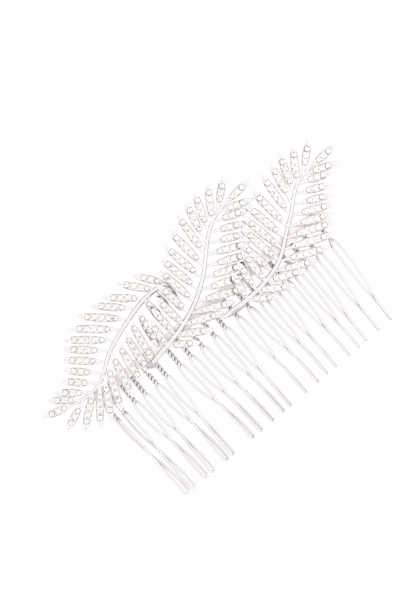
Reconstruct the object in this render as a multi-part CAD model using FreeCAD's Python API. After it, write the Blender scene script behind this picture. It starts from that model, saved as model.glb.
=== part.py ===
import FreeCAD, Part
import math
import os
from FreeCAD import Vector

# Bridal hair comb: a row of twisted wire tines on a flat bar, with three cast fern fronds
# set with round crystals soldered across the front of the bar. Millimetres.
# While building, X runs along the bar from its middle, Y from the tine tips to the fronds
# with 0 on the bar's centre line, and Z towards the viewer with 0 on the tines' wire plane.

# Wire and tines
wire_d = 0.8              # drawn wire
tine_pitch = 4.4          # mean distance between tines
tine_length = 39.9        # bar centre line to the lowest point of the first tine
tine_shortening = 1.5     # how much shorter the last tine is
neck_length = 8.7         # bar centre line to the top of the open loop
neck_end_above = 1.1      # how far the twisted ends run past the bar's centre line
twist_pitch = 2.8         # length of one full turn of the twisted neck
strand_gap = 0.07         # air between the two strands of a neck
loop_spread = 2.0         # between the wire centres at the top of the loop
belly_spread = 2.4        # between the wire centres where the loop is widest
belly_place = 0.22        # where that is, share of the legs
waist_spread = 0.98       # between the wire centres where the legs cross
tip_spread = 1.5          # between the wire centres at the U bend
loop_shoulder = 1.9       # length over which the loop opens below the neck
cross_first = 0.50        # where the legs cross on the first tine, share of the legs
cross_last = 0.86         # the same on the last tine
turn_first = 18.0         # angle of the first tine's U bend to the tine plane, degrees
turn_last = 96.0          # the same on the last tine

# Hand-set places: how far each neck stands from an even row, and how far its tip leans
neck_offset = (0.0, -1.4, -1.3, -1.8, -1.7, -2.3, -1.5, -1.7, -1.6, -1.2,
               -1.5, -1.0, -0.9, -1.0, -1.0, -0.8, -1.0, -1.2, -1.1, 0.0)
tip_lean = (2.2, 1.7, 2.1, 1.0, 1.8, 0.5, 3.0, 2.1, 2.1, 1.5,
            0.2, 1.4, 1.6, 1.0, 0.0, 0.6, 0.2, -0.9, -0.6, -1.2)
loop_turn = (62.0, 48.0) + (0.0,) * 18    # degrees that the open loop is twisted out of plane

# Bar and solder
bar_width = 3.4
bar_thickness = 0.8
bar_overhang = 1.4        # bar beyond the first and last neck
bar_edge = 0.2            # rounding of its front edge
seat_gap = 0.02           # between round wire and what it is soldered to
bead_radius = 1.5         # solder bead round the end of each neck
bead_height = 1.25
post_radius = 0.85        # solder post between the bar and a frond's stem
post_reach = 8.0          # its height before it is cut off at the frond's underside
post_inset = 0.9          # least distance of its middle from the bar's edge

# Fronds
leaf_thickness = 0.95
stem_height = 1.3
stem_width_tail = 1.6
stem_width_head = 1.0
stalk_width = 0.8
leaf_rim = 0.2            # metal beside a stone
leaf_point = 2.6          # plain pointed end beyond the last stone
tip_leaf = 12.3           # length of the leaflet at the frond's tip
first_leaf = 14.0         # from the frond's tip back to its first pair of leaflets
frond_tilt = 3.2          # each frond leans so that it laps over its right-hand neighbour
frond_rise = 3.1          # height of a frond's underside above the wire plane at its pivot

# Crystals
large_stone = 1.9
small_stone = 1.6         # the innermost stone of each leaflet
stone_gap = 0.18          # between the girdles of two stones
leaf_belly = large_stone / 2 + 0.37      # half of a leaflet's greatest width
pocket_depth = 0.55
pocket_clearance = 0.03
girdle_height = 0.08
crown_height = 0.30
table_share = 0.58        # table width over stone width
foot_share = 0.45         # width of the flat foot over stone width

# Leaflets from the frond's tip to its tail: stones, whole length, direction in degrees
left_leaves = ((3, 11.4, 41), (4, 12.2, 57), (4, 13.6, 70), (4, 14.6, 78), (5, 15.4, 86),
               (5, 15.5, 95), (5, 15.6, 100), (5, 15.6, 101), (5, 15.0, 99), (4, 13.2, 99),
               (4, 11.8, 96), (3, 10.6, 92), (3, 9.6, 87))
right_leaves = ((3, 11.5, -19), (3, 11.6, -21), (3, 12.0, -25), (3, 12.6, -25), (4, 13.8, -24),
                (4, 14.4, -23), (5, 15.9, -21), (5, 16.2, -22), (5, 15.9, -24), (4, 14.0, -25),
                (4, 12.8, -23), (4, 11.8, -31), (3, 10.2, -34))
tip_leaf_stones = 3

pairs = len(left_leaves)
bent_pairs = 3            # pairs at the tail whose left leaflets are bent on a frond

# Each frond: name, turn of its leaflets in degrees, distance between its first and between
# its last pairs of leaflets, bend of the last left leaflets in degrees, length and width of
# the stem's end, stem from tail to tip, and where solder posts stand, measured from the tail
fronds = (
    ("left", 161.5, 3.25, 4.0, 12.0, 1.6, 1.6,
     ((-3.4, 13.0), (-13.6, 13.5), (-20.0, 11.9), (-25.9, 10.0), (-31.5, 7.5), (-36.1, 4.1),
      (-41.6, 2.0), (-49.0, 2.9), (-58.9, 5.8)),
     (38.9, 41.5)),
    ("middle", 0.0, 3.22, 4.0, 0.0, 3.0, 2.4,
     ((-24.6, -3.1), (-17.1, -1.6), (-7.5, 0.6), (0.7, 4.4), (7.4, 9.4), (12.7, 14.7),
      (17.9, 18.5), (24.1, 20.4), (34.7, 21.0)),
     (10.0, 15.5)),
    ("right", 0.0, 3.1, 3.9, -8.0, 8.5, 1.9,
     ((1.0, -5.6), (12.3, -6.0), (20.8, -5.0), (27.4, -2.4), (32.4, 1.6), (38.4, 6.0),
      (43.0, 10.1), (50.0, 12.4), (61.5, 12.8)),
     (29.0, 31.6)),
)

tine_count = len(neck_offset)
bar_back = wire_d + strand_gap / 2 + seat_gap
bar_front = bar_back + bar_thickness
neck_radius = wire_d + strand_gap / 2


def neck_x(index):
    """Place of a neck along the bar."""
    row_start = -tine_pitch * (tine_count - 1) / 2
    return row_start + tine_pitch * index + neck_offset[index]


def ease(value):
    """Smooth step from 0 to 1."""
    value = min(max(value, 0.0), 1.0)
    return value * value * (3 - 2 * value)


def bent_wire(points, diameter):
    """Round wire along straight runs joined by tangent arcs, closed by a disc at each end."""
    share = 0.48          # part of the shorter run that an arc takes on each side
    runs = [points[i + 1] - points[i] for i in range(len(points) - 1)]
    ways = [Vector(run).normalize() for run in runs]
    cuts = [0.0]
    for before, after in zip(runs, runs[1:]):
        cuts.append(share * min(before.Length, after.Length))
    cuts.append(0.0)
    ring = Part.makeCircle(diameter / 2, points[0], ways[0])
    faces = [Part.Face(Part.Wire(ring))]
    for i, run in enumerate(runs):
        straight = run.Length - cuts[i] - cuts[i + 1]
        step = ways[i] * straight
        faces.append(ring.extrude(step))
        ring = ring.copy()
        ring.translate(step)
        if i + 1 < len(runs):
            normal = ways[i].cross(ways[i + 1])
            angle = ways[i].getAngle(ways[i + 1])
            radius = cuts[i + 1] / math.tan(angle / 2)
            inward = normal.cross(ways[i]).normalize()
            start = points[i + 1] - ways[i] * cuts[i + 1]
            centre = start + inward * radius
            faces.append(ring.revolve(centre, normal, math.degrees(angle)))
            ring = ring.copy()
            ring.rotate(centre, normal, math.degrees(angle))
    faces.append(Part.Face(Part.Wire(ring)))
    skin = Part.makeShell([face for part in faces for face in part.Faces])
    skin.sewShape()
    solid = Part.makeSolid(skin)
    if solid.Volume < 0:
        solid.reverse()
    return solid


def tine(index):
    """One wire bent double: U bend, crossing legs, open loop and twisted neck."""
    share = index / (tine_count - 1)
    crossing = cross_first + (cross_last - cross_first) * share ** 2
    tip_turn = math.radians(turn_first + (turn_last - turn_first) * share ** 0.8)
    strand_half = (wire_d + strand_gap) / 2
    tip_half = tip_spread / 2
    length = tine_length - tine_shortening * share
    legs_end = length - wire_d / 2 - tip_half
    legs = legs_end - neck_length
    twist = math.radians(loop_turn[index])
    steps_per_turn = 8
    neck_steps = round((neck_length + neck_end_above) / twist_pitch * steps_per_turn)

    def centre_x(depth):
        return neck_x(index) + tip_lean[index] * ease((depth - neck_length) / legs)

    def spread(along):
        """Distance between the legs across the comb and through it."""
        if along < belly_place:
            belly = loop_spread + (belly_spread - loop_spread) * ease(along / belly_place)
            return belly * math.cos(twist), belly * math.sin(twist)
        if along < crossing:
            part = (along - belly_place) / (crossing - belly_place)
            across = belly_spread * math.cos(twist) * math.cos(part * math.pi / 2)
            through = belly_spread * math.sin(twist) * (1 - ease(part))
            settle = 0.0
        else:
            part = min((along - crossing) / (0.75 * (1 - crossing)), 1.0)
            across = -tip_spread * math.cos(tip_turn) * math.sin(part * math.pi / 2)
            through = 0.0
            settle = ease(part)
        pass_over = waist_spread * max(1 - (across / 1.6) ** 2, 0.0) ** 2
        through = max(through, pass_over)
        return across, through + (tip_spread * math.sin(tip_turn) - through) * settle

    def leg(depth, side):
        across, through = spread((depth - neck_length) / legs)
        opening = math.sqrt(min((depth - neck_length) / loop_shoulder, 1.0))
        across = strand_half + (across / 2 - strand_half) * opening
        return Vector(centre_x(depth) + side * across, -depth, side * through / 2 * opening)

    def strand(step, side):
        turn = -2 * math.pi * step / steps_per_turn
        depth = neck_length - twist_pitch * step / steps_per_turn
        return Vector(neck_x(index) + side * strand_half * math.cos(turn), -depth,
                      side * strand_half * math.sin(turn))

    def side_points(side):
        points = [strand(step, side) for step in range(neck_steps, 0, -1)]
        points += [leg(neck_length + loop_shoulder * part, side) for part in (0.12, 0.5, 1.0)]
        first = neck_length + loop_shoulder
        leg_steps = 10
        points += [leg(first + (legs_end - first) * step / leg_steps, side)
                   for step in range(1, leg_steps + 1)]
        return points

    bend = []
    for degrees in (-60, -20, 20, 60):
        angle = math.radians(degrees)
        out = tip_half / math.cos(math.radians(20))
        across = out * math.sin(angle)
        bend.append(Vector(centre_x(legs_end) - across * math.cos(tip_turn),
                           -legs_end - out * math.cos(angle), across * math.sin(tip_turn)))
    return bent_wire(side_points(-1) + bend + side_points(1)[::-1], wire_d)


def bar():
    """Flat bar that holds the tines, with rounded ends."""
    left = neck_x(0) - bar_overhang
    right = neck_x(tine_count - 1) + bar_overhang
    blank = Part.makeBox(right - left, bar_width, bar_thickness,
                         Vector(left, -bar_width / 2, bar_back))
    upright = [edge for edge in blank.Edges
               if abs(edge.tangentAt(edge.FirstParameter).z) > 0.9]
    rounded = blank.makeFillet(bar_width / 3, upright)
    front = [edge for edge in rounded.Edges
             if edge.BoundBox.ZMin > bar_front - 0.01]
    return rounded.makeFillet(bar_edge, front)


def solder_bead(index):
    """Low dome of solder on the bar's back that holds a neck's two ends."""
    foot = Vector(neck_x(index), 0, bar_back)
    dome = Part.makeCone(bead_radius, bead_radius * 0.72, bead_height, foot, Vector(0, 0, -1))
    neck = Part.makeCylinder(neck_radius + seat_gap, 2 * bead_radius + 1,
                             foot + Vector(0, -bead_radius - 0.5, -bar_back), Vector(0, 1, 0))
    return dome.cut(neck)


class Stem:
    """Smooth centre line of a frond from its tail to its tip."""

    def __init__(self, places):
        curve = Part.BSplineCurve()
        curve.interpolate([Vector(x, y, 0) for x, y in places])
        self.curve = curve
        self.length = curve.length()

    def point(self, distance):
        return self.curve.value(self.curve.parameterAtDistance(distance))

    def heading(self, distance):
        tangent = self.curve.tangent(self.curve.parameterAtDistance(distance))[0]
        return math.degrees(math.atan2(tangent.y, tangent.x))


def stone_places(stones, length):
    """Distance of each stone from the leaflet's base, and its width, from the tip inwards."""
    places = []
    large = stones - 1
    at = length - leaf_point
    for number in range(stones):
        width = large_stone if number < large else small_stone
        at -= width / 2
        places.append((at, width))
        at -= width / 2 + stone_gap
    return places


def leaflet(stones, length):
    """Plain leaflet blank along +X with its base at the origin."""
    inner, inner_width = stone_places(stones, length)[-1]
    stalk = stalk_width / 2
    slim = inner_width / 2 + leaf_rim
    shoulder = length - leaf_point
    broad = large_stone / 2 + leaf_rim
    belly = Vector((inner + shoulder) / 2, leaf_belly, 0)
    stalk_start = Vector(-stalk, stalk, 0)
    stalk_end = Vector(max(inner - inner_width * 1.3, stalk), stalk * 1.1, 0)
    waist = Vector(inner - inner_width * 0.3, slim, 0)
    collar = Vector(shoulder, broad * 0.9, 0)
    cheek = Vector(length - leaf_point * 0.45, broad * 0.56, 0)
    tip = Vector(length, 0, 0)

    def below(point):
        return Vector(point.x, -point.y, 0)

    edges = [
        Part.makeLine(stalk_start, stalk_end),
        Part.makeLine(stalk_end, waist),
        Part.Arc(waist, belly, collar).toShape(),
        Part.Arc(collar, cheek, tip).toShape(),
        Part.Arc(tip, below(cheek), below(collar)).toShape(),
        Part.Arc(below(collar), below(belly), below(waist)).toShape(),
        Part.makeLine(below(waist), below(stalk_end)),
        Part.makeLine(below(stalk_end), below(stalk_start)),
        Part.makeLine(below(stalk_start), stalk_start),
    ]
    return Part.Face(Part.Wire(edges)).extrude(Vector(0, 0, leaf_thickness))


def rib_half(share, distance, end_length, end_width):
    """Half width of a stem: an oval end, then a taper towards the frond's tip."""
    taper = (stem_width_tail + (stem_width_head - stem_width_tail) * share) / 2
    across = 2 * distance / end_length - 1
    oval = end_width / 2 * math.sqrt(max(1 - across ** 2, 0.02))
    return oval if across < 0 else max(oval, taper)


def stem_rib(stem, end_length, end_width):
    """Stem as a tapering rib, from its oval end to the first stone of the tip leaflet."""
    end = stem.length - tip_leaf + stalk_width
    oval_steps = 8
    steps = 20
    distances = [end_length * step / oval_steps for step in range(oval_steps)]
    distances += [end_length + (end - end_length) * step / steps for step in range(steps + 1)]
    left, right = [], []
    for distance in distances:
        half = rib_half(distance / end, distance, end_length, end_width)
        side = math.radians(stem.heading(distance) + 90)
        offset = Vector(math.cos(side), math.sin(side), 0) * half
        left.append(stem.point(distance) + offset)
        right.append(stem.point(distance) - offset)
    outline = Part.makePolygon(left + right[::-1] + [left[0]])
    return Part.Face(outline).extrude(Vector(0, 0, stem_height))


def leaf_place(number, first_step, last_step):
    """Distance from a frond's tip to a pair of leaflets."""
    growth = (last_step - first_step) / (2 * (pairs - 1))
    return first_leaf + number * (first_step + growth * number)


def placed_leaves(stem, turn, first_step, last_step, bend):
    """Every leaflet of a frond: base point, direction, stones and length."""
    leaves = []
    for side, side_bend in ((left_leaves, bend), (right_leaves, 0.0)):
        for number, (stones, length, angle) in enumerate(side):
            base = stem.point(stem.length - leaf_place(number, first_step, last_step))
            if number >= pairs - bent_pairs:
                angle += side_bend
            leaves.append((base, angle + turn, stones, length))
    base = stem.point(stem.length - tip_leaf)
    aim = stem.point(stem.length) - base
    angle = math.degrees(math.atan2(aim.y, aim.x))
    leaves.append((base, angle, tip_leaf_stones, aim.Length))
    return leaves


def stone_seats(leaves):
    """Centre and width of every stone of a frond, on the leaflets' upper face."""
    seats = []
    for base, angle, stones, length in leaves:
        way = Vector(math.cos(math.radians(angle)), math.sin(math.radians(angle)), 0)
        for at, width in stone_places(stones, length):
            seats.append((base + way * at + Vector(0, 0, leaf_thickness), width))
    return seats


def casting(rib, leaves, seats):
    """One frond cast in a piece, with a round pocket for every stone."""
    blanks = []
    for base, angle, stones, length in leaves:
        blank = leaflet(stones, length)
        blank.rotate(Vector(0, 0, 0), Vector(0, 0, 1), angle)
        blank.translate(base)
        blanks.append(blank)
    solid = rib.fuse(blanks).removeSplitter()
    pockets = []
    for seat, width in seats:
        radius = width / 2 + pocket_clearance
        pockets.append(Part.makeCylinder(radius, stem_height, seat - Vector(0, 0, pocket_depth)))
    return solid.cut(pockets).Solids[0]


def crystal(width):
    """Round cut stone with its girdle at z = 0."""
    radius = width / 2
    half_girdle = girdle_height / 2
    foot = radius * foot_share
    outline = [Vector(0, 0, -pocket_depth), Vector(foot, 0, -pocket_depth),
               Vector(radius, 0, -half_girdle), Vector(radius, 0, half_girdle),
               Vector(radius * table_share, 0, crown_height), Vector(0, 0, crown_height)]
    profile = Part.Face(Part.makePolygon(outline + [outline[0]]))
    return profile.revolve(Vector(0, 0, 0), Vector(0, 0, 1), 360)


def crystals(seats, width):
    """All of a frond's stones of one size."""
    stones = []
    for seat, seat_width in seats:
        if seat_width == width:
            stone = crystal(width)
            stone.translate(seat)
            stones.append(stone)
    return Part.makeCompound(stones)


def lay_on_bar(shape):
    """Put a flat frond, or its stones, at its height with the lapping tilt."""
    placed = shape.copy()
    placed.rotate(Vector(0, 0, 0), Vector(0, 1, 0), frond_tilt)
    return placed


def frond_lift(stem):
    """Height of the frond's pivot so that all fronds lap like shingles."""
    middle = stem.point(stem.length / 2)
    return frond_rise + middle.x * math.tan(math.radians(frond_tilt))


def solder_post(stem, distance, lift):
    """Post of solder between the bar's front and a stem's underside."""
    spot = stem.point(distance)
    reach = bar_width / 2 - post_inset
    foot = Vector(spot.x, min(max(spot.y, -reach), reach), bar_front)
    post = Part.makeCylinder(post_radius, post_reach, foot)
    above = Part.makeBox(200, 100, 20, Vector(-100, -50, 0))
    above.rotate(Vector(0, 0, 0), Vector(0, 1, 0), frond_tilt)
    above.translate(Vector(0, 0, lift))
    return post.cut(above)


parts = {"comb_bar": bar()}
for number in range(tine_count):
    parts["tine_%02d" % (number + 1)] = tine(number)
parts["tine_solder"] = Part.makeCompound(
    [piece for number in range(tine_count) for piece in solder_bead(number).Solids])

posts = []
for name, turn, first_step, last_step, bend, end_length, end_width, places, post_places in fronds:
    stem = Stem(places)
    leaves = placed_leaves(stem, turn, first_step, last_step, bend)
    seats = stone_seats(leaves)
    lift = frond_lift(stem)
    sub_parts = {
        "frond_" + name: casting(stem_rib(stem, end_length, end_width), leaves, seats),
        "crystals_%s_large" % name: crystals(seats, large_stone),
        "crystals_%s_small" % name: crystals(seats, small_stone),
    }
    for node, shape in sub_parts.items():
        shape = lay_on_bar(shape)
        shape.translate(Vector(0, 0, lift))
        parts[node] = shape
    posts += [solder_post(stem, distance, lift) for distance in post_places]
parts["frond_solder"] = Part.makeCompound(posts)

# Move everything so that the origin is at the middle of the underside of the whole comb
whole = Part.makeCompound(list(parts.values())).optimalBoundingBox()
origin = Vector((whole.XMin + whole.XMax) / 2, (whole.YMin + whole.YMax) / 2, whole.ZMin)
os.makedirs("parts", exist_ok=True)
for node, shape in parts.items():
    shape.translate(-origin)
    shape.exportStep("parts/%s.step" % node)
    print(node, len(shape.Solids), shape.isValid(), round(shape.Volume, 3))
print("size", [round(v, 2) for v in (whole.XLength, whole.YLength, whole.ZLength)])
print("origin", [round(v, 3) for v in origin])
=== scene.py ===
import math
import bpy
from mathutils import Matrix, Vector


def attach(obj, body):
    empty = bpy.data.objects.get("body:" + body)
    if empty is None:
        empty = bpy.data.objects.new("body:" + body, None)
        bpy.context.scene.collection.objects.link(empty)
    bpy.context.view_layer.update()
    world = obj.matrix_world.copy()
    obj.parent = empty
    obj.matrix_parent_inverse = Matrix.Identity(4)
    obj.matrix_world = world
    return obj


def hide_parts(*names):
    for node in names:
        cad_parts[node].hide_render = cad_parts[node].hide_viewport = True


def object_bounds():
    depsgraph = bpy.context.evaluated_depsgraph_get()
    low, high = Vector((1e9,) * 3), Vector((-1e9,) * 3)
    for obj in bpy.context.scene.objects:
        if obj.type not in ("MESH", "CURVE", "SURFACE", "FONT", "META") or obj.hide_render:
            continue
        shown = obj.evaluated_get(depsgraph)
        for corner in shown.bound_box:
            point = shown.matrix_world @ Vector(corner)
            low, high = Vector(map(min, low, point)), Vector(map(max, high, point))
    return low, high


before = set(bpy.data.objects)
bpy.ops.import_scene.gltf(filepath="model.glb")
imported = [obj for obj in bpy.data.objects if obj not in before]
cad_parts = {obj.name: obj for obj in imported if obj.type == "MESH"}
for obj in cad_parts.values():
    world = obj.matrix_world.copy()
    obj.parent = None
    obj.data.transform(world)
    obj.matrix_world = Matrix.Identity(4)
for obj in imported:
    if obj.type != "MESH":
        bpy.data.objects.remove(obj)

cadLow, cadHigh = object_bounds()
mm = 0.001


def linearColour(hexText):
    # sRGB hex to the linear colour that shaders take
    values = [int(hexText[i:i + 2], 16) / 255 for i in (0, 2, 4)]
    return [v / 12.92 if v <= 0.04045 else ((v + 0.055) / 1.055) ** 2.4 for v in values] + [1.0]


def addNode(tree, kind, settings=None, inputs=None):
    # one node with its settings, and its sockets set to a value or linked from another socket
    node = tree.nodes.new(kind)
    for name, value in (settings or {}).items():
        setattr(node, name, value)
    for name, value in (inputs or {}).items():
        if isinstance(value, bpy.types.NodeSocket):
            tree.links.new(value, node.inputs[name])
        else:
            node.inputs[name].default_value = value
    return node


def deselectAll():
    if bpy.context.object and bpy.context.object.mode != "OBJECT":
        bpy.ops.object.mode_set(mode="OBJECT")
    bpy.ops.object.select_all(action="DESELECT")


def pick(piece):
    deselectAll()
    piece.select_set(True)
    bpy.context.view_layer.objects.active = piece


def editFaces(piece, test):
    # edit mode with only the faces that pass the test selected
    pick(piece)
    bpy.ops.object.mode_set(mode="EDIT")
    bpy.ops.mesh.select_mode(type="FACE")
    bpy.ops.mesh.select_all(action="DESELECT")
    bpy.ops.object.mode_set(mode="OBJECT")
    for face in piece.data.polygons:
        face.select = test(face)
    bpy.ops.object.mode_set(mode="EDIT")


def editVerts(piece, test):
    # edit mode with only the vertices that pass the test selected
    pick(piece)
    bpy.ops.object.mode_set(mode="EDIT")
    bpy.ops.mesh.select_mode(type="VERT")
    bpy.ops.mesh.select_all(action="DESELECT")
    bpy.ops.object.mode_set(mode="OBJECT")
    for vert in piece.data.vertices:
        vert.select = test(vert)
    bpy.ops.object.mode_set(mode="EDIT")


def applyModifier(piece, kind, **settings):
    pick(piece)
    modifier = piece.modifiers.new(kind, kind)
    for name, value in settings.items():
        setattr(modifier, name, value)
    bpy.ops.object.modifier_apply(modifier=modifier.name)


def joinPieces(pieces, name):
    deselectAll()
    for piece in pieces:
        piece.select_set(True)
    bpy.context.view_layer.objects.active = pieces[0]
    bpy.ops.object.join()
    joined = bpy.context.object
    joined.name = name
    joined.data.name = name
    return joined


def copyAt(piece, matrix):
    # a copy with its own mesh, its place worked into the mesh
    twin = piece.copy()
    twin.data = piece.data.copy()
    twin.data.transform(matrix)
    bpy.context.collection.objects.link(twin)
    return twin


def finishPiece(piece, slotName, materials, *nodes):
    piece.data.materials.clear()
    for material in materials:
        piece.data.materials.append(material)
    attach(piece, "root")
    if nodes:
        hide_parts(*nodes)


def islandsOf(node):
    # the corners of each separate solid of a CAD node, in the order the solids were made
    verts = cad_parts[node].data.vertices
    places = {}
    parent = {}
    for index, vert in enumerate(verts):
        key = tuple(round(c / (0.0001 * mm)) for c in vert.co)
        places.setdefault(key, index)
        parent[index] = places[key]

    def root(index):
        while parent[index] != index:
            parent[index] = parent[parent[index]]
            index = parent[index]
        return index

    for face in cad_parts[node].data.polygons:
        first = root(face.vertices[0])
        for other in face.vertices[1:]:
            parent[root(other)] = first
    groups = {}
    for index in range(len(verts)):
        groups.setdefault(root(index), []).append(verts[index].co)
    return list(groups.values())


print("frame loaded", len(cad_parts), "nodes")

# camera and light, aimed from the middle of the bar

barLow = Vector([min(v.co[i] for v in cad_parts["comb_bar"].data.vertices) for i in range(3)])
barHigh = Vector([max(v.co[i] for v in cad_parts["comb_bar"].data.vertices) for i in range(3)])
barMiddle = (barLow + barHigh) / 2

cameraSizes = {
    "rightWay": (0.770, -0.638),   # the view's right in the frame's plane
    "aimX": 0.18 * mm,             # from the middle of the bar
    "aimY": 2.82 * mm,
    "distance": 700 * mm,
    "seenLength": 180 * mm,        # along the view's long side
    "sensor": 36,
    "clipStart": 0.01,
    "clipEnd": 10,
}


def addCamera(sizes):
    data = bpy.data.cameras.new("studioCamera")
    camera = bpy.data.objects.new("studioCamera", data)
    bpy.context.collection.objects.link(camera)
    rightX, rightY = sizes["rightWay"]
    right = Vector((rightX, rightY, 0)).normalized()
    up = Vector((-right.y, right.x, 0))
    turn = Matrix((right, up, Vector((0, 0, 1)))).transposed().to_4x4()
    place = Vector((barMiddle.x + sizes["aimX"], barMiddle.y + sizes["aimY"], sizes["distance"]))
    camera.matrix_world = Matrix.Translation(place) @ turn
    data.sensor_width = sizes["sensor"]
    data.lens = sizes["sensor"] * sizes["distance"] / sizes["seenLength"]
    data.clip_start = sizes["clipStart"]
    data.clip_end = sizes["clipEnd"]
    bpy.context.scene.camera = camera


addCamera(cameraSizes)

lightSizes = {
    "leftPlace": (-0.8, 0.5, 0.9),
    "rightPlace": (0.9, -0.2, 1.0),
    "leftPower": 1.0,
    "rightPower": 0.6,
    "boxSize": 0.9,
    "skyStrength": 1.36,
    # colours from the horizon up: a greyer wall, white tent, and a small dim opening overhead
    "skyStops": ((0.0, "CFCBCA"), (0.12, "DEDAD9"), (0.32, "F6F4F3"), (0.70, "FFFEFD"),
                 (0.985, "FBF9F8"), (0.998, "C4BEC0")),
}


def addSoftbox(name, place, size, power):
    # a round softbox that faces the middle of the object
    data = bpy.data.lights.new(name, "AREA")
    data.shape = "DISK"
    data.size = size
    data.energy = power
    light = bpy.data.objects.new(name, data)
    light.location = place
    light.rotation_euler = (-Vector(place)).to_track_quat("-Z", "Y").to_euler()
    bpy.context.collection.objects.link(light)


def setRamp(ramp, stops):
    # a colour ramp's stops, each a position and an sRGB hex colour
    for position, colour in stops[1:-1]:
        ramp.elements.new(position)
    for element, (position, colour) in zip(ramp.elements, stops):
        element.position = position
        element.color = linearColour(colour)


def addRoom(sizes):
    # a white tent round the object
    world = bpy.data.worlds.new("studioRoom")
    bpy.context.scene.world = world
    world.use_nodes = True
    tree = world.node_tree
    tree.nodes.clear()
    way = addNode(tree, "ShaderNodeTexCoord")
    parts = addNode(tree, "ShaderNodeSeparateXYZ", None, {"Vector": way.outputs["Generated"]})
    tint = addNode(tree, "ShaderNodeValToRGB", None, {"Fac": parts.outputs["Z"]})
    setRamp(tint.color_ramp, sizes["skyStops"])
    sky = addNode(tree, "ShaderNodeBackground", None,
                  {"Color": tint.outputs["Color"], "Strength": sizes["skyStrength"]})
    addNode(tree, "ShaderNodeOutputWorld", None, {"Surface": sky.outputs["Background"]})


addSoftbox("softboxLeft", lightSizes["leftPlace"], lightSizes["boxSize"], lightSizes["leftPower"])
addSoftbox("softboxRight", lightSizes["rightPlace"], lightSizes["boxSize"], lightSizes["rightPower"])
addRoom(lightSizes)
bpy.context.scene.view_settings.view_transform = "Standard"
print("camera, softboxes and room ready")


def newMaterial(name):
    material = bpy.data.materials.new(name)
    material.use_nodes = True
    tree = material.node_tree
    return material, tree, tree.nodes["Principled BSDF"]


def setShader(shader, **values):
    for name, value in values.items():
        shader.inputs[name.replace("_", " ")].default_value = value


def rhodiumPlate():
    # rhodium plate on cast brass: a cool near-white mirror, faintly uneven from hand polishing
    material, tree, shader = newMaterial("rhodiumPlate")
    setShader(shader, Metallic=1.0, Roughness=0.14, Base_Color=linearColour("E1DEDF"),
              Specular_Tint=linearColour("A29E9F"))
    place = addNode(tree, "ShaderNodeTexCoord")
    drift = addNode(tree, "ShaderNodeTexNoise", None,
                    {"Vector": place.outputs["Object"], "Scale": 420.0, "Detail": 2.0})  # 2.4 mm
    gloss = addNode(tree, "ShaderNodeMapRange", None,
                    {"Value": drift.outputs["Fac"], "To Min": 0.14, "To Max": 0.24})
    tree.links.new(gloss.outputs["Result"], shader.inputs["Roughness"])
    bump = addNode(tree, "ShaderNodeBump", None,
                   {"Height": drift.outputs["Fac"], "Strength": 0.12, "Distance": 0.05 * mm})
    tree.links.new(bump.outputs["Normal"], shader.inputs["Normal"])
    return material


def paintedLightSeat():
    # the same plate in the cut seats and on the beads, given a lighter colour than the plate as
    # painted light against the shade in the channel, with small grey dots of painted shade
    material, tree, shader = newMaterial("seatPaintedLightAndShade")
    setShader(shader, Metallic=1.0, Roughness=0.2, Base_Color=linearColour("F4F2F1"))
    place = addNode(tree, "ShaderNodeTexCoord")
    # grey dots about 0.4 mm across: painted shade round the beads and stones
    shadeDots = addNode(tree, "ShaderNodeTexNoise", None,
                   {"Vector": place.outputs["Object"], "Scale": 2600.0, "Detail": 2.0})  # 0.4 mm
    tint = addNode(tree, "ShaderNodeValToRGB", None, {"Fac": shadeDots.outputs["Fac"]})
    setRamp(tint.color_ramp, ((0.3, "A9A5A4"), (0.4, "F6F4F3")))
    tree.links.new(tint.outputs["Color"], shader.inputs["Base Color"])
    return material


def paintedDarkReflection():
    # a painted dark reflection on the stems' tails: violet-grey metal, duller than the plate
    material, tree, shader = newMaterial("paintedDarkReflection")
    setShader(shader, Metallic=1.0, Roughness=0.38, Base_Color=linearColour("BBB4BC"))
    return material


def drawnWire():
    # plated drawn wire: bright and round, its skin just soft enough to blur the room
    material, tree, shader = newMaterial("platedDrawnWire")
    setShader(shader, Metallic=1.0, Roughness=0.24, Base_Color=linearColour("DEDBDD"),
              Specular_Tint=linearColour("A4A0A1"))
    return material


def satinBar():
    # rolled strip under the same plate: flat, satin, a touch warmer than the castings
    material, tree, shader = newMaterial("satinBar")
    setShader(shader, Metallic=1.0, Roughness=0.3, Base_Color=linearColour("F8F2EE"))
    place = addNode(tree, "ShaderNodeTexCoord")
    # rolling marks about 8 mm long and 0.4 mm apart, coarser than real ones so that they show
    stretch = addNode(tree, "ShaderNodeMapping", None,
                      {"Vector": place.outputs["Object"], "Scale": (120.0, 2400.0, 900.0)})
    marks = addNode(tree, "ShaderNodeTexNoise", None,
                    {"Vector": stretch.outputs["Vector"], "Scale": 1.0, "Detail": 2.0})
    gloss = addNode(tree, "ShaderNodeMapRange", None,
                    {"Value": marks.outputs["Fac"], "To Min": 0.24, "To Max": 0.36})
    tree.links.new(gloss.outputs["Result"], shader.inputs["Roughness"])
    return material


def cutCrystal():
    # cut lead crystal: clear and bright, its facets each catching a different part of the room
    material, tree, shader = newMaterial("cutCrystal")
    setShader(shader, Base_Color=linearColour("FFFEFD"), Roughness=0.0, IOR=1.55,
              Transmission_Weight=1.0)
    return material


def mirrorFoil():
    # vacuum foil on the stones' undersides, which sends the light back out of the crown
    material, tree, shader = newMaterial("mirrorFoil")
    setShader(shader, Metallic=1.0, Roughness=0.03, Base_Color=linearColour("FCFBFA"))
    return material


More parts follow.
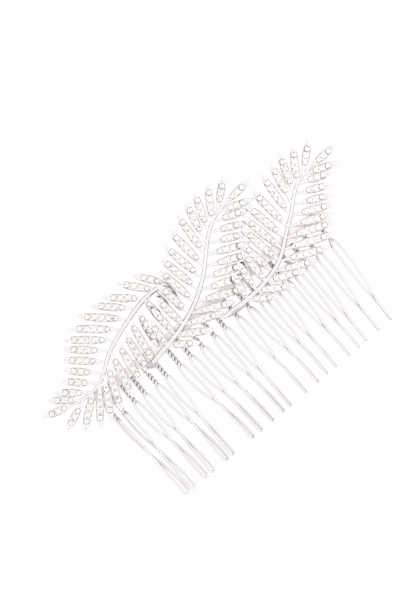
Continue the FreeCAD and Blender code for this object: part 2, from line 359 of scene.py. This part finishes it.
def softSolder():
    # tin solder under plate: paler and duller than the castings, with a slightly lumpy skin
    material, tree, shader = newMaterial("platedSolder")
    setShader(shader, Metallic=1.0, Roughness=0.3, Base_Color=linearColour("DAD8DA"))
    place = addNode(tree, "ShaderNodeTexCoord")
    lumps = addNode(tree, "ShaderNodeTexNoise", None,
                    {"Vector": place.outputs["Object"], "Scale": 1400.0, "Detail": 3.0})  # 0.7 mm
    bump = addNode(tree, "ShaderNodeBump", None,
                   {"Height": lumps.outputs["Fac"], "Strength": 0.4, "Distance": 0.1 * mm})
    tree.links.new(bump.outputs["Normal"], shader.inputs["Normal"])
    return material


def paleFloor():
    # opal acrylic lit evenly from behind, so nothing on it leaves more than a breath of shadow
    material, tree, shader = newMaterial("backlitAcrylic")
    setShader(shader, Roughness=0.6, Base_Color=linearColour("8C8C8C"), Specular_IOR_Level=0.1,
              Emission_Color=linearColour("FFFFFF"), Emission_Strength=0.84)
    return material


plate = rhodiumPlate()
seatWithPaintedLight = paintedLightSeat()
darkReflectionPaint = paintedDarkReflection()
strip = satinBar()
wire = drawnWire()
crystal = cutCrystal()
foil = mirrorFoil()
solder = softSolder()
print("materials ready")

frondSizes = {
    "leafThickness": 0.95 * mm,
    "leafPoint": 2.6 * mm,
    "leafBelly": 1.32 * mm,    # half of the greatest width
    "largeStone": 1.9 * mm,
    "smallStone": 1.6 * mm,
    "stoneGap": 0.18 * mm,
    "rim": 0.26 * mm,
    "channelDepth": 0.3 * mm,
    "stalkHalf": 0.42 * mm,
    "stemTail": 1.6 * mm,
    "stemHead": 1.0 * mm,
    "stemHeight": 1.3 * mm,
    "stemMiddle": 0.42,        # the stem's widest level, share of its height
    "stemStep": 1.2 * mm,      # least distance between two points of its path
    "stemIntoTip": 3.0 * mm,   # how far it runs under the tip leaflet
    "domeRise": 0.14 * mm,     # of the leaflets' points and stalks
    "grain": 0.17 * mm,        # radius of the beads that hold the stones
    "grainLift": 0.03 * mm,
    "crease": 0.4,
    "padMiddle": 0.5,          # level and half height of a pad that carries the painted reflection, share of the stem's height
    "padHalf": 0.56,
    "tailRise": 2.0 * mm,      # rough height of the castings over the bar, to lay their tails flat
    "tilt": 3.2,               # degrees
}

# past a leaflet's last stone: share of the plain end, half width as a share of the belly, height
pointShape = ((0.02, 0.82, 1.0), (0.26, 0.73, 1.0), (0.52, 0.57, 0.97), (0.75, 0.37, 0.92),
              (0.92, 0.18, 0.85), (0.985, 0.08, 0.75))

# stones and length in millimetres of each leaflet, from the frond's tip to its tail
leftLeaves = ((3, 11.4), (4, 12.2), (4, 13.6), (4, 14.6), (5, 15.4), (5, 15.5), (5, 15.6),
              (5, 15.6), (5, 15.0), (4, 13.2), (4, 11.8), (3, 10.6), (3, 9.6))
rightLeaves = ((3, 11.5), (3, 11.6), (3, 12.0), (3, 12.6), (4, 13.8), (4, 14.4), (5, 15.9),
               (5, 16.2), (5, 15.9), (4, 14.0), (4, 12.8), (4, 11.8), (3, 10.2))
tipStones = 3
tipLength = 12.3

# each stem's run past its last leaflets, from the middle of the bar in millimetres,
# each point with half the stem's width there
tails = {
    "left": ((-3.5, 13.0, 0.45), (-4.0, 13.0, 0.8)),
    "middle": ((-23.6, -2.85, 0.5), (-22.4, -2.6, 0.74), (-20.9, -2.3, 0.78),
               (-18.7, -1.85, 0.8)),
    "right": ((1.1, -5.6, 0.12), (2.2, -5.65, 0.45), (4.0, -5.8, 0.82), (5.8, -5.95, 0.92),
              (8.0, -6.05, 0.86)),
}

# oval pads on the tails that carry a painted dark reflection: middle relative to the bar's, half sizes
# and turn
reflectionPads = {
    "left": (),
    "middle": ((-23.4, -2.8, 1.5, 1.05, -39.6),),
    "right": ((6.4, -6.5, 3.6, 0.66, -5.3),),
}

stoneSizes = {
    "crown": 0.30 * mm,
    "shoulder": 0.19 * mm,     # where the crown's facets meet
    "girdle": 0.03 * mm,       # half of its height
    "largeDepth": 0.40 * mm,
    "smallDepth": 0.30 * mm,
    "leafTurn": 37,            # degrees from one leaflet's stones to the next one's
    "stoneTurn": 61,           # and from stone to stone, so that they don't flash alike
}

frondTilt = Matrix.Rotation(math.radians(frondSizes["tilt"]), 4, "Y")


def seatsOf(node, width):
    # stone seats of a CAD node, laid flat: the point on the leaflet's upper face under each stone
    flat = frondTilt.inverted()
    seats = []
    for island in islandsOf(node):
        points = [flat @ point for point in island]
        middle = sum(points, Vector()) / len(points)
        top = max(point.z for point in points)
        seats.append((Vector((middle.x, middle.y, top - stoneSizes["crown"])), width))
    return seats


def stoneOffsets(stones, length, s):
    # distance of each stone from the leaflet's base, and its width, from the tip inwards
    places = []
    at = length - s["leafPoint"]
    for number in range(stones):
        width = s["largeStone"] if number < stones - 1 else s["smallStone"]
        at -= width / 2
        places.append((at, width))
        at -= width / 2 + s["stoneGap"]
    return places


def flatSpot(x, y, s):
    # a place given in millimetres from the middle of the bar, as it lies before the tilt
    return frondTilt.inverted() @ Vector((barMiddle.x + x * mm, barMiddle.y + y * mm,
                                          barMiddle.z + s["tailRise"]))


def readFrond(name, s):
    # leaflets of a CAD frond from its rows of stones: base, direction, stones, length, seats
    large = seatsOf("crystals_%s_large" % name, s["largeStone"])
    small = seatsOf("crystals_%s_small" % name, s["smallStone"])
    leaves = []
    for stones, length in leftLeaves + rightLeaves + ((tipStones, tipLength),):
        row = large[:stones - 1] + small[:1]
        large = large[stones - 1:]
        small = small[1:]
        outer, inner = row[0][0], row[-1][0]
        way = (outer - inner).normalized()
        length *= mm
        at = stoneOffsets(stones, length, s)[0][0]
        base = outer - way * at - Vector((0, 0, s["leafThickness"]))
        leaves.append({"base": base, "way": way, "stones": stones, "length": length, "row": row})
    return leaves


def leafStations(stones, length, s):
    # along the leaflet: distance from its base, half width, and height as a share of its thickness
    offsets = stoneOffsets(stones, length, s)[::-1]
    innerAt, innerWidth = offsets[0]
    outerAt = offsets[-1][0]
    stalk = s["stalkHalf"]
    belly = s["leafBelly"]
    middle = (innerAt + outerAt) / 2
    shoulder = length - s["leafPoint"]
    stations = [(-stalk, stalk * 0.95, 0.8),
                (max(innerAt - innerWidth * 1.35, stalk), stalk * 1.05, 0.85),
                (innerAt - innerWidth * 0.85, stalk * 1.5, 0.93),
                (innerAt - innerWidth * 0.55, innerWidth * 0.52, 1.0)]
    for at, width in offsets:
        away = abs(at - middle) / max(outerAt - middle, width)
        half = belly - (belly - width / 2 - s["rim"] * 0.75) * min(away, 1.0) ** 2
        stations.append((at, half, 1.0))
    stations += [(shoulder + s["leafPoint"] * share, belly * wide, high)
                 for share, wide, high in pointShape]
    return stations, offsets, shoulder


def modelLeaf(stones, length, s):
    # one leaflet along +X: stalk, channel for the stones, plain pointed tip
    stations, offsets, shoulder = leafStations(stones, length, s)
    innerAt, innerWidth = offsets[0]
    thick = s["leafThickness"]
    deselectAll()
    startX, startHalf, startHigh = stations[0]
    bpy.ops.mesh.primitive_plane_add(size=1, location=(startX, 0, thick * startHigh / 2),
                                     rotation=(0, math.radians(90), 0))
    leaf = bpy.context.object
    leaf.data.materials.append(plate)
    leaf.data.materials.append(seatWithPaintedLight)
    leaf.scale = (thick * startHigh, startHalf * 2, 1)
    bpy.ops.object.transform_apply(location=True, rotation=True, scale=True)
    bpy.ops.object.mode_set(mode="EDIT")
    bpy.ops.mesh.select_mode(type="FACE")
    bpy.ops.mesh.select_all(action="SELECT")
    atX, half, high = stations[0]
    for nextX, nextHalf, nextHigh in stations[1:]:
        bpy.ops.mesh.extrude_region_move(TRANSFORM_OT_translate={"value": (nextX - atX, 0, 0)})
        bpy.ops.transform.resize(value=(1, nextHalf / half, nextHigh / high),
                                 center_override=(nextX, 0, 0))
        atX, half, high = nextX, nextHalf, nextHigh
    bpy.ops.mesh.select_all(action="SELECT")
    bpy.ops.mesh.bisect(plane_co=(0, 0, 0), plane_no=(0, 1, 0))
    bpy.ops.mesh.select_all(action="SELECT")
    bpy.ops.mesh.normals_make_consistent(inside=False)
    # the pointed end and the stalk are domed along their middle
    editVerts(leaf, lambda v: abs(v.co.y) < 0.01 * mm and v.co.z > thick * 0.3
              and (v.co.x > shoulder + s["leafPoint"] * 0.1 or v.co.x < innerAt - innerWidth * 0.7))
    bpy.ops.transform.translate(value=(0, 0, s["domeRise"]))
    # the channel: the upper face between the first and last stone is inset and sunk
    first = innerAt - innerWidth * 0.56
    editFaces(leaf, lambda f: f.normal.z > 0.7 and first < f.center.x < shoulder + 0.05 * mm)
    bpy.ops.mesh.inset(thickness=s["rim"], use_boundary=True)
    bpy.ops.transform.translate(value=(0, 0, -s["channelDepth"]))
    bpy.ops.object.mode_set(mode="OBJECT")
    # the sunk channel faces take the seat material, with its painted light and painted shade
    for face in leaf.data.polygons:
        face.material_index = 1 if face.select else 0
    bpy.ops.object.mode_set(mode="EDIT")
    bpy.ops.mesh.select_mode(type="EDGE")
    bpy.ops.mesh.select_all(action="SELECT")
    bpy.ops.transform.edge_crease(value=s["crease"])
    deselectAll()
    applyModifier(leaf, "SUBSURF", levels=2, render_levels=2)
    pick(leaf)
    bpy.ops.object.shade_smooth()
    beads = []
    for x, y in grainSpots(offsets):
        bpy.ops.mesh.primitive_ico_sphere_add(subdivisions=2, radius=s["grain"],
                                              location=(x, y, thick + s["grainLift"]))
        bpy.ops.object.transform_apply(location=True, rotation=True, scale=True)
        bpy.ops.object.shade_smooth()
        # the beads take the seat material, with its painted light and painted shade
        bpy.context.object.data.materials.append(seatWithPaintedLight)
        beads.append(bpy.context.object)
    return joinPieces([leaf] + beads, "leafForm")


def grainSpots(offsets):
    # beads at both sides of every gap between two stones, and past the two end stones
    innerAt, innerWidth = offsets[0]
    outerAt, outerWidth = offsets[-1]
    spots = [(innerAt - innerWidth * 0.46, innerWidth * 0.27),
             (outerAt + outerWidth * 0.46, outerWidth * 0.27)]
    for (near, nearWidth), (far, farWidth) in zip(offsets, offsets[1:]):
        spots.append(((near + nearWidth / 2 + far - farWidth / 2) / 2, (nearWidth + farWidth) * 0.2))
    return [(x, side * y) for x, y in spots for side in (-1, 1)]


def modelStem(points, s):
    # round-backed stem through the leaflets' bases, flat underneath; points carry its half width
    bottom = s["stemHeight"] * s["stemMiddle"]
    top = s["stemHeight"] - bottom
    deselectAll()
    bpy.ops.curve.primitive_nurbs_path_add(location=(0, 0, 0))
    stem = bpy.context.object
    curve = stem.data
    spline = curve.splines[0]
    if len(points) > len(spline.points):
        spline.points.add(len(points) - len(spline.points))
    for number, (point, half) in enumerate(points):
        spline.points[number].co = (point.x, point.y, point.z + bottom, 1)
        spline.points[number].radius = half / mm
    spline.order_u = 3
    spline.use_endpoint_u = True
    curve.dimensions = "3D"
    curve.bevel_depth = 1 * mm
    curve.bevel_resolution = 5
    curve.resolution_u = 6
    curve.use_fill_caps = True
    pick(stem)
    bpy.ops.object.convert(target="MESH")
    stem = bpy.context.object
    bpy.ops.object.transform_apply(location=True, rotation=True, scale=True)
    middleZ = points[0][0].z + bottom
    # wide ends are kept as low as the rest of the stem
    for vert in stem.data.vertices:
        rise = vert.co.z - middleZ
        vert.co.z = middleZ + (min(rise, top) if rise > 0 else max(rise, -bottom))
    stem.data.materials.append(plate)
    pick(stem)
    bpy.ops.object.shade_smooth()
    return stem


def modelReflectionPad(x, y, halfLong, halfWide, turn, floorZ, s):
    # low oval button, a little prouder than the stem it sits on, put there to carry a painted dark
    # reflection
    at = flatSpot(x, y, s)
    level = floorZ + s["stemHeight"] * s["padMiddle"]
    deselectAll()
    bpy.ops.mesh.primitive_uv_sphere_add(segments=40, ring_count=16, radius=1,
                                         location=(at.x, at.y, level),
                                         rotation=(0, 0, math.radians(turn)))
    pad = bpy.context.object
    pad.scale = (halfLong * mm, halfWide * mm, s["stemHeight"] * s["padHalf"])
    bpy.ops.object.transform_apply(location=True, rotation=True, scale=True)
    bpy.ops.object.shade_smooth()
    pad.data.transform(frondTilt)
    pad.name = "painted_reflection_pad"
    return pad


def stemPath(name, leaves, s):
    # points of a stem with its half width, from its tail through the leaflets' bases to its tip
    floorZ = leaves[0]["base"].z
    count = len(leftLeaves)
    points = []
    for x, y, half in tails[name]:
        at = flatSpot(x, y, s)
        points.append((Vector((at.x, at.y, floorZ)), half * mm))
    for index in range(count - 1, -1, -1):
        middle = (leaves[index]["base"] + leaves[count + index]["base"]) / 2
        share = 1 - index / count
        half = (s["stemTail"] + (s["stemHead"] - s["stemTail"]) * share) / 2
        at = Vector((middle.x, middle.y, floorZ))
        if (at - points[-1][0]).length > s["stemStep"]:
            points.append((at, half))
    end = leaves[-1]["base"] + leaves[-1]["way"] * s["stemIntoTip"]
    points.append((Vector((end.x, end.y, floorZ)), s["stemHead"] * s["stemMiddle"]))
    return points


def modelFrond(name, s):
    # one casting: its leaflets, its stem, and the pads with a painted dark reflection that stand on
    # its tail
    leaves = readFrond(name, s)
    pieces = []
    forms = {}
    for leaf in leaves:
        key = (leaf["stones"], round(leaf["length"] / mm, 2))
        if key not in forms:
            forms[key] = modelLeaf(leaf["stones"], leaf["length"], s)
        turn = Matrix.Rotation(math.atan2(leaf["way"].y, leaf["way"].x), 4, "Z")
        pieces.append(copyAt(forms[key], Matrix.Translation(leaf["base"]) @ turn))
    for form in forms.values():
        bpy.data.objects.remove(form)
    pieces.append(modelStem(stemPath(name, leaves, s), s))
    for values in reflectionPads[name]:
        pad = modelReflectionPad(*values, leaves[0]["base"].z, s)
        # the pad is coloured as a painted dark reflection
        finishPiece(pad, "plated_metal", [darkReflectionPaint])
    frond = joinPieces(pieces, "casting_" + name)
    frond.data.transform(frondTilt)
    indices = [face.material_index for face in frond.data.polygons]
    finishPiece(frond, "plated_metal", [plate, seatWithPaintedLight], "frond_" + name)
    frond.data.polygons.foreach_set("material_index", indices)
    return frond, leaves


def modelStone(width, depth, s):
    # a shallow round brilliant: table, crown, girdle and foiled underside
    radius = width / 2
    deselectAll()
    # corners, share of the radius, height and turn of each ring, from the table down
    rings = ((8, 0.56, s["crown"], 0), (8, 0.80, s["shoulder"], 22.5),
             (16, 1.0, s["girdle"], 11.25), (16, 1.0, -s["girdle"], 11.25),
             (8, 0.62, -depth * 0.55, 22.5), (8, 0.16, -depth, 0))
    bpy.ops.mesh.primitive_circle_add(vertices=rings[0][0], radius=radius * rings[0][1],
                                      location=(0, 0, rings[0][2]))
    stone = bpy.context.object
    bpy.ops.object.transform_apply(location=True, rotation=True, scale=True)
    bpy.ops.object.mode_set(mode="EDIT")
    for count, share, height, turn in rings[1:]:
        bpy.ops.mesh.primitive_circle_add(vertices=count, radius=radius * share,
                                          location=(0, 0, height), rotation=(0, 0, math.radians(turn)))
    bpy.ops.mesh.select_all(action="SELECT")
    bpy.ops.mesh.convex_hull()
    bpy.ops.mesh.select_all(action="SELECT")
    bpy.ops.mesh.normals_make_consistent(inside=False)
    bpy.ops.object.mode_set(mode="OBJECT")
    stone.data.materials.append(crystal)
    stone.data.materials.append(foil)
    for face in stone.data.polygons:
        face.material_index = 1 if face.normal.z < -0.1 else 0
    return stone


def setStones(name, leaves, s):
    # a frond's stones in their seats, one mesh from two forms
    large, small = frondSizes["largeStone"], frondSizes["smallStone"]
    forms = {large: modelStone(large, s["largeDepth"], s),
             small: modelStone(small, s["smallDepth"], s)}
    pieces = []
    for number, leaf in enumerate(leaves):
        for step, (spot, width) in enumerate(leaf["row"]):
            angle = math.radians(s["leafTurn"] * number + s["stoneTurn"] * step)
            turn = Matrix.Rotation(angle, 4, "Z")
            pieces.append(copyAt(forms[width], Matrix.Translation(spot) @ turn))
    for form in forms.values():
        bpy.data.objects.remove(form)
    stones = joinPieces(pieces, "stones_" + name)
    stones.data.transform(frondTilt)
    finishPiece(stones, "crystal", [crystal, foil], "crystals_%s_large" % name,
                "crystals_%s_small" % name)


for name in ("left", "middle", "right"):
    frond, leaves = modelFrond(name, frondSizes)
    setStones(name, leaves, stoneSizes)
    print("frond", name, len(frond.data.polygons), "faces")

# the wires, the solder and the bar are the CAD nodes themselves, with better materials

for name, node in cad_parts.items():
    if name.startswith("tine_") and name != "tine_solder":
        material = wire
    elif name.endswith("solder"):
        material = solder
    elif name == "comb_bar":
        material = strip
    else:
        continue
    node.data.materials.clear()
    node.data.materials.append(material)
print("wires, solder and bar dressed")

floorSize = 3.0
bpy.ops.mesh.primitive_plane_add(size=floorSize, location=(0, 0, cadLow.z))
floor = bpy.context.object
floor.name = "floor"
bpy.ops.object.transform_apply(location=True, rotation=True, scale=True)
floor.data.materials.append(paleFloor())
print("floor laid")
